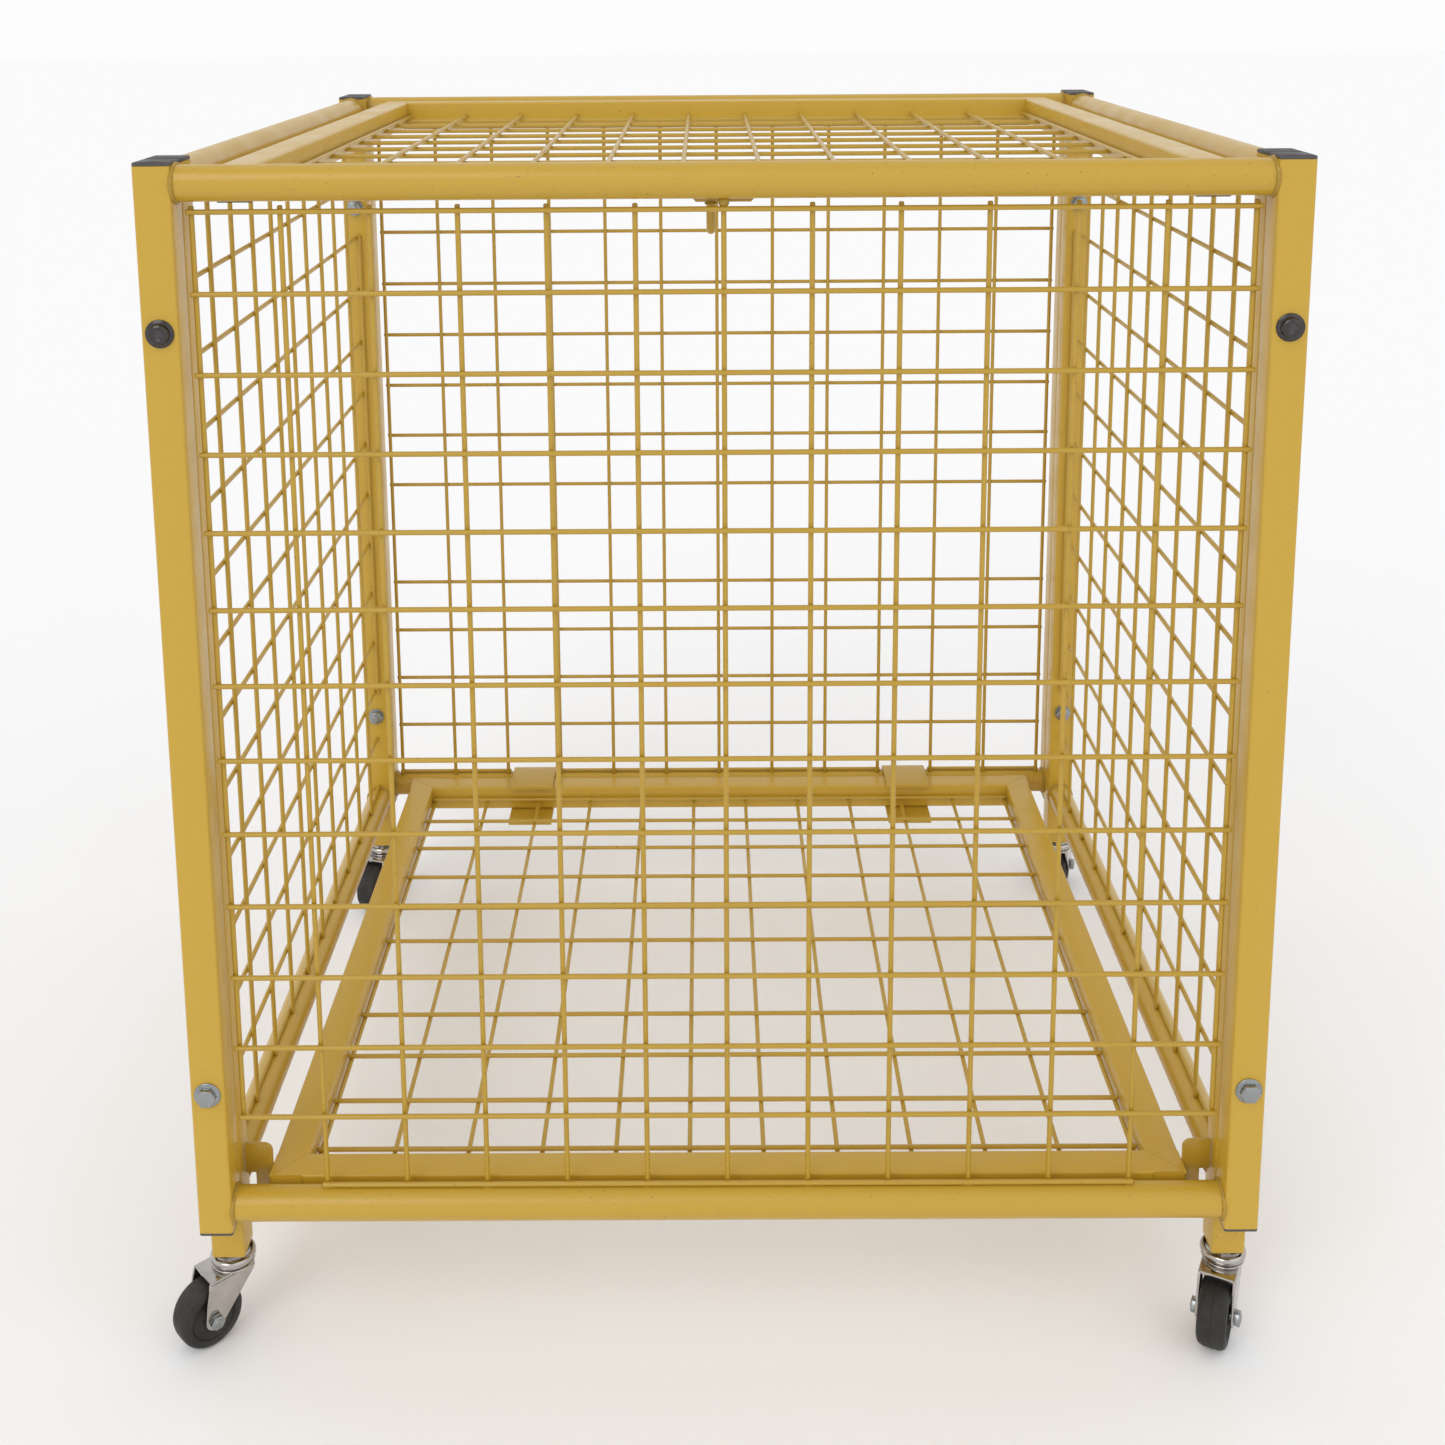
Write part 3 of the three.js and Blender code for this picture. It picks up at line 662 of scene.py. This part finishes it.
def rail_strap(node):
    """Lid strap: a leaf on the lid's rear face that curls under the rail and up behind it."""
    low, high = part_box(node)
    middle = (POST_Y, RAIL_HIGH)
    outer, inner = 21.6 * MM, 17.6 * MM
    build = Build()
    curl = [(POST_Y - outer, RAIL_HIGH + 10 * MM)] + arc(middle, outer, -180, 25, 36)
    curl += arc(middle, inner, 25, -180, 36) + [(POST_Y - outer + 4 * MM, RAIL_HIGH + 10 * MM)]
    build.prism(curl, "x", low.x, high.x)
    tail = RAIL_HIGH - 14 * MM
    front = LID_HIGH.y + GAP
    build.prism([(front, tail), (front + 3.4 * MM, tail), (front + 3.4 * MM, RAIL_HIGH + 9 * MM),
                 (front, RAIL_HIGH + 9 * MM)], "x", low.x + 0.3 * MM, high.x - 0.3 * MM)
    build.slot = 1
    for x in (low.x + 1 * MM, high.x - 1 * MM):
        path = [(x, front, z) for z in steps_between(tail, RAIL_HIGH + 8 * MM, 12)]
        build.sweep(path, 1.3 * MM, 8, ripple=0.2)
    build.piece(f"fine_{node}", "lid", "coating", [PAINT, WELD], [node], bevel=0.5 * MM)


def lock():
    low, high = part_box("lid_lock_plate")
    build = Build()
    build.prism([(high.x, high.z), (low.x, high.z), (low.x + 6 * MM, low.z), (high.x - 6 * MM, low.z)],
                "y", low.y, high.y)
    build.slot = 1
    for x in (low.x, high.x):
        path = [(x, y, high.z - 0.4 * MM) for y in steps_between(low.y, high.y, 10)]
        build.sweep(path, 1.2 * MM, 8, ripple=0.25)
    build.piece("fine_lid_lock_plate", "lid", "coating", [PAINT, WELD], ["lid_lock_plate"], bevel=0.6 * MM)

    low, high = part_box("lid_lock_staple")
    bar = 4 * MM
    x, y = (low.x + high.x) / 2, (low.y + high.y) / 2
    half = (high.y - low.y) / 2 - bar
    turn = low.z + bar + half
    path = [(x, y - half, high.z - 0.3 * MM)] + [(x, p, q) for p, q in arc((y, turn), half, 180, 360, 24)]
    path.append((x, y + half, high.z - 0.3 * MM))
    build = Build()
    build.sweep(path, bar - 0.1 * MM, 20)
    build.slot = 1
    for leg in (y - half, y + half):
        build.blob((x, leg, high.z - 1 * MM), (5.4 * MM, 5.0 * MM, 2.2 * MM))
    build.piece("fine_lid_lock_staple", "lid", "coating", [PAINT, WELD], ["lid_lock_staple"], smooth=60)


# ---- floor ----
def floor_section():
    low, high = FLOOR_LOW, FLOOR_HIGH
    z = (low.z + high.z) / 2
    side, end = high.x - TUBE / 2, high.y - TUBE / 2
    build = Build()
    for x in (-side, side):
        build.tube((x, low.y + 0.05 * MM, z), (x, high.y - 0.05 * MM, z), TUBE)
    for y in (-end, end):
        build.tube((low.x, y, z), (high.x, y, z), TUBE - 0.1 * MM)
    for sx in (-1, 1):
        for sy in (-1, 1):
            corner_seams(build, sx * high.x, sy * high.y, low.z, high.z, (-sx, -sy))
    build.piece("fine_floor_frame", "floor", "coating", [PAINT, WELD], ["floor_frame"])

    rows = spaced(PANEL_ROW_COUNT, FLOOR_ROW_PITCH, FLOOR_ROW_MIDDLE) + [FLOOR_REAR_ROW]
    mesh_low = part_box("floor_mesh")[0]
    ends = (mesh_low.y, high.y - TUBE - 0.5 * MM)
    level_panel("floor_mesh", "floor", rows, ends, mesh_low.z + WIRE_R, -1)
    for hand in ("left", "right"):
        floor_strap(f"floor_{hand}_strap")
        floor_hook(f"floor_{hand}_hook")


def floor_strap(node):
    """A flat bar bent to a U round the rear bottom rail."""
    low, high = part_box(node)
    middle = (POST_Y, RAIL_LOW)
    inner = RAIL_R + GAP
    outer = inner + STRAP_T
    outline = [(STRAP_LOW_FRONT, RAIL_LOW - outer)] + arc(middle, outer, -90, 90, 32)
    outline += [(STRAP_TOP_FRONT, RAIL_LOW + outer), (STRAP_TOP_FRONT, RAIL_LOW + inner)]
    outline += arc(middle, inner, 90, -90, 32) + [(STRAP_LOW_FRONT, RAIL_LOW - inner)]
    build = Build()
    build.prism(outline, "x", low.x, high.x)
    build.piece(f"fine_{node}", "floor", "coating", [PAINT], [node], bevel=0.6 * MM)


def floor_hook(node):
    low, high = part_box(node)
    side = 1 if low.x > 0 else -1
    inner = low.x if side > 0 else -high.x
    outer = high.x if side > 0 else -low.x
    round_r = 8 * MM
    notch = low.z + 20 * MM
    outline = [(inner, low.z)]
    outline += arc((inner + round_r, high.z - round_r), round_r, 180, 90, 8)
    outline += [(outer, high.z), (outer, notch), (outer - 10 * MM, notch), (outer - 10 * MM, low.z)]
    build = Build()
    build.prism([(side * p, q) for p, q in outline], "y", low.y, high.y)
    build.slot = 1
    for y in (low.y, high.y):
        path = [(side * inner, y, z) for z in steps_between(low.z + 2 * MM, FLOOR_HIGH.z - 1 * MM, 12)]
        build.sweep(path, 1.3 * MM, 8, ripple=0.25)
    build.piece(f"fine_{node}", "floor", "coating", [PAINT, WELD], [node], bevel=0.5 * MM)


# ---- casters ----
STUB = SIDE_LOW.z                      # lower end of the uprights
FORK_TOP = STUB - 13.7 * MM
FORK_LEAD = -14 * MM                   # ends of the fork's top plate, ahead of the kingpin and behind it
FORK_TAIL = 33 * MM
FOOT_R = 10 * MM                       # the fork's round foot about the axle
CHEEK_IN = 15.2 * MM                   # a cheek's inner and outer faces
CHEEK_OUT = 17.7 * MM
CORNER_R = 1.2 * MM                    # rounding of the fork's pressed edges
AXLE_HEX = 12.8 * MM


def caster(name):
    stem_low, stem_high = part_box(f"{name}_caster_stem")
    wheel_low, wheel_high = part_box(f"{name}_caster_wheel")
    pivot = (stem_low + stem_high) / 2
    hub = (wheel_low + wheel_high) / 2
    away = Vector((hub.x - pivot.x, hub.y - pivot.y))
    heading = math.atan2(away.y, away.x)
    spot = Matrix.Translation((pivot.x, pivot.y, 0)) @ Matrix.Rotation(heading, 4, "Z")
    caster_stem(name, spot)
    caster_fork(name, spot, away.length, hub.z)
    caster_axle(name, spot, away.length, hub.z)
    caster_wheel(name, spot, away.length, hub.z)


def caster_stem(name, spot):
    """Rivet, kingpin, dished swivel head, neck nut and the plug inside the upright."""
    node = f"{name}_caster_stem"
    rivet = [(0, -20.4), (6.0, -20.5), (7.6, -19.7), (8.0, -18.5), (8.0, -17.5), (5.0, -17.5)]
    head = [(5.0, -12.2), (18.4, -12.2), (19.8, -11.8), (20.9, -10.8), (21.6, -9.2), (21.8, -7.4),
            (21.5, -5.6), (20.7, -4.3), (19.4, -3.5), (18.2, -3.6), (16.6, -4.5), (13.4, -6.0), (8.0, -6.8)]
    plug = [(8.0, -6.0), (5.0, -6.0), (5.0, -0.4), (13.9, -0.4), (13.9, 38.0), (0, 38.0)]
    build = Build(spot @ Matrix.Translation((0, 0, STUB)))
    build.turned([(r * MM, z * MM) for r, z in rivet + head + plug], "z", 64)
    build.loft([[(p, q, z) for p, q in hexagon(14 * MM * s)]
                for z, s in ((-7.0 * MM, 1.0), (-1.6 * MM, 1.0), (-0.9 * MM, 0.97), (-0.5 * MM, 0.9))])
    build.piece(f"fine_{node}", "cage", "caster_plating", [CHROME], [node], smooth=50)


def caster_fork(name, spot, trail, hub):
    """A pressed fork: round race under the swivel head, top plate, two tapering cheeks."""
    node = f"{name}_caster_fork"
    lead, tail = FORK_LEAD, FORK_TAIL
    outline = [(lead + 1 * MM, FORK_TOP - CORNER_R), (lead + 0.4 * MM, FORK_TOP - 3 * MM)]
    outline += [(lead + 2.2 * MM, FORK_TOP - 7 * MM)] + arc((trail, hub), FOOT_R, 217, 358, 20)
    outline += [(trail + 8 * MM, FORK_TOP - 22 * MM), (tail + 3 * MM, FORK_TOP - 12 * MM),
                (tail + 0.6 * MM, FORK_TOP - CORNER_R)]
    build = Build(spot)
    for side in (-1, 1):
        build.loft([[(p, side * y, q) for p, q in outline] for y in (CHEEK_IN, CHEEK_OUT)])
    half = CHEEK_OUT
    top, under = FORK_TOP - 0.05 * MM, FORK_TOP - 3 * MM
    bend = arc((-half + CORNER_R, top - CORNER_R), CORNER_R, 180, 90, 5)
    section = [(-half, under)] + bend + [(-p, q) for p, q in reversed(bend)] + [(half, under)]
    build.loft([[(x, p, q) for p, q in section] for x in (lead + 0.6 * MM, tail)])
    race = [(5.7, 3.0), (15.5, 3.0), (18.6, 2.0), (20.2, 1.2), (20.8, 0.4), (20.6, -0.3), (19.9, -0.7),
            (5.7, -0.7)]
    build.turned([(r * MM, FORK_TOP - drop * MM) for r, drop in race], "z", 64)
    build.piece(f"fine_{node}", f"{name}_swivel", "caster_plating", [CHROME], [node],
                bevel=0.5 * MM, smooth=44, steps=3)


def caster_axle(name, spot, trail, hub):
    node = f"{name}_caster_axle"
    build = Build(spot @ Matrix.Translation((trail, 0, hub)))
    end = CHEEK_OUT + 6.6 * MM
    build.turned([(0, -end + 1 * MM), (3.9 * MM, -end + 1 * MM), (3.9 * MM, end - 0.4 * MM),
                  (3.3 * MM, end), (0, end)], "y", 28)
    hex_part(build, AXLE_HEX, CHEEK_OUT + GAP, CHEEK_OUT + 5.9 * MM, 0.9 * MM)
    hex_part(build, AXLE_HEX, -CHEEK_OUT - GAP, -CHEEK_OUT - 5.2 * MM, 0.9 * MM)
    build.piece(f"fine_{node}", f"{name}_swivel", "bolt_zinc", [ZINC], [node], bevel=0.2 * MM, smooth=34)


def caster_wheel(name, spot, trail, hub):
    """Moulded wheel: crowned tread with a parting line, dished web and hub."""
    node = f"{name}_caster_wheel"
    r = hub / MM
    half = 14.0
    right = [(4.7, half), (9.2, half), (10.0, half - 0.5), (10.6, half - 2.4), (12.0, half - 3.2),
             (19.6, half - 3.2), (21.4, half - 2.2), (22.4, half - 0.3), (23.4, half - 0.1),
             (r - 5.2, half - 0.2), (r - 2.4, half - 1.6), (r - 0.9, half - 4.0), (r - 0.25, half - 7.0),
             (r - 0.03, 1.2), (r, 0.5), (r - 0.3, 0.15)]
    profile = right + [(a, -b) for a, b in reversed(right)]
    build = Build(spot @ Matrix.Translation((trail, 0, hub)))
    build.turned([(a * MM, b * MM) for a, b in profile], "y", 96)
    build.piece(f"fine_{node}", f"{name}_wheel", "tread", [RUBBER], [node], smooth=38)


# ---- studio ----
def studio():
    sheet = bpy.data.meshes.new("studio_floor")
    reach = 30.0
    sheet.from_pydata([(-reach, -reach, 0), (reach, -reach, 0), (reach, reach, 0), (-reach, reach, 0)],
                      [], [(0, 1, 2, 3)])
    ground = bpy.data.objects.new("studio_floor", sheet)
    n = Nodes("studio_floor")
    sheet.materials.append(n.link(Base_Color=(0.96, 0.96, 0.96, 1), Roughness=0.9))
    bpy.context.scene.collection.objects.link(ground)

    world = bpy.data.worlds.new("studio")
    world.use_nodes = True
    tree = world.node_tree
    way = tree.nodes.new("ShaderNodeTexCoord").outputs["Generated"]
    split = tree.nodes.new("ShaderNodeSeparateXYZ")
    ramp = tree.nodes.new("ShaderNodeValToRGB")
    stops = ramp.color_ramp.elements
    stops[0].position, stops[1].position = 0.02, 0.9
    stops[0].color, stops[1].color = (1, 1, 1, 1), (0.80, 0.80, 0.81, 1)
    tree.links.new(way, split.inputs[0])
    tree.links.new(split.outputs["Z"], ramp.inputs["Fac"])
    tree.links.new(ramp.outputs["Color"], tree.nodes["Background"].inputs["Color"])
    tree.nodes["Background"].inputs["Strength"].default_value = 0.98
    bpy.context.scene.world = world
    soft_sun("key", (-0.45, -0.80, 0.80), 35, 0.60)
    soft_sun("fill", (0.75, -0.55, 0.60), 60, 0.24)


def soft_sun(name, towards, spread, power):
    """A broad distant light from the way towards, spread in degrees across."""
    data = bpy.data.lights.new(name, "SUN")
    data.angle = math.radians(spread)
    data.energy = power
    lamp = bpy.data.objects.new(name, data)
    lamp.rotation_euler = (-Vector(towards)).to_track_quat("-Z", "Y").to_euler()
    bpy.context.scene.collection.objects.link(lamp)


CAMERA_AT = (-0.0167, -1.8857, 1.2995) # metres, close in front of the cage and just above it
CAMERA_PITCH = 10.0                    # degrees below level
CAMERA_YAW = 0.196                     # degrees to the left
CAMERA_ROLL = -0.38
SENSOR = 36.0
LENS = 42.62
SHIFT = (0.0163, -0.3032)              # the cage sits low in a view that looks only a little down


def camera():
    data = bpy.data.cameras.new("camera")
    data.sensor_width = SENSOR
    data.lens = LENS
    data.shift_x, data.shift_y = SHIFT
    yaw, pitch, roll = (math.radians(a) for a in (CAMERA_YAW, CAMERA_PITCH, CAMERA_ROLL))
    ahead = Vector((-math.sin(yaw) * math.cos(pitch), math.cos(yaw) * math.cos(pitch), -math.sin(pitch)))
    level = Vector((math.cos(yaw), math.sin(yaw), 0))
    down = Vector((math.sin(yaw) * math.sin(pitch), -math.cos(yaw) * math.sin(pitch), -math.cos(pitch)))
    right = level * math.cos(roll) - down * math.sin(roll)
    up = -(level * math.sin(roll) + down * math.cos(roll))
    turn = Matrix((right, up, -ahead)).transposed().to_4x4()
    eye = bpy.data.objects.new("camera", data)
    eye.matrix_world = Matrix.Translation(CAMERA_AT) @ turn
    bpy.context.scene.collection.objects.link(eye)
    bpy.context.scene.camera = eye
    bpy.context.scene.view_settings.view_transform = "Standard"


camera()
studio()
for frame_name in ("front_frame", "rear_frame", "left_side_frame", "right_side_frame"):
    wall_frame(frame_name)
end_panel("front_mesh", -1)
end_panel("rear_mesh", 1)
side_panel("left_side_mesh", -1)
side_panel("right_side_mesh", 1)
for end in ("front", "rear"):
    for hand in ("left", "right"):
        cap(f"{end}_{hand}_post_cap", "cage")
        cap(f"{end}_{hand}_upright_cap", "cage")
        cap(f"{end}_{hand}_post_plug", "cage", (0, 0, -1))
        for level in ("low", "high"):
            bolt(f"bolt_{end}_{hand}_{level}")
        caster(f"{end}_{hand}")
lid()
floor_section()
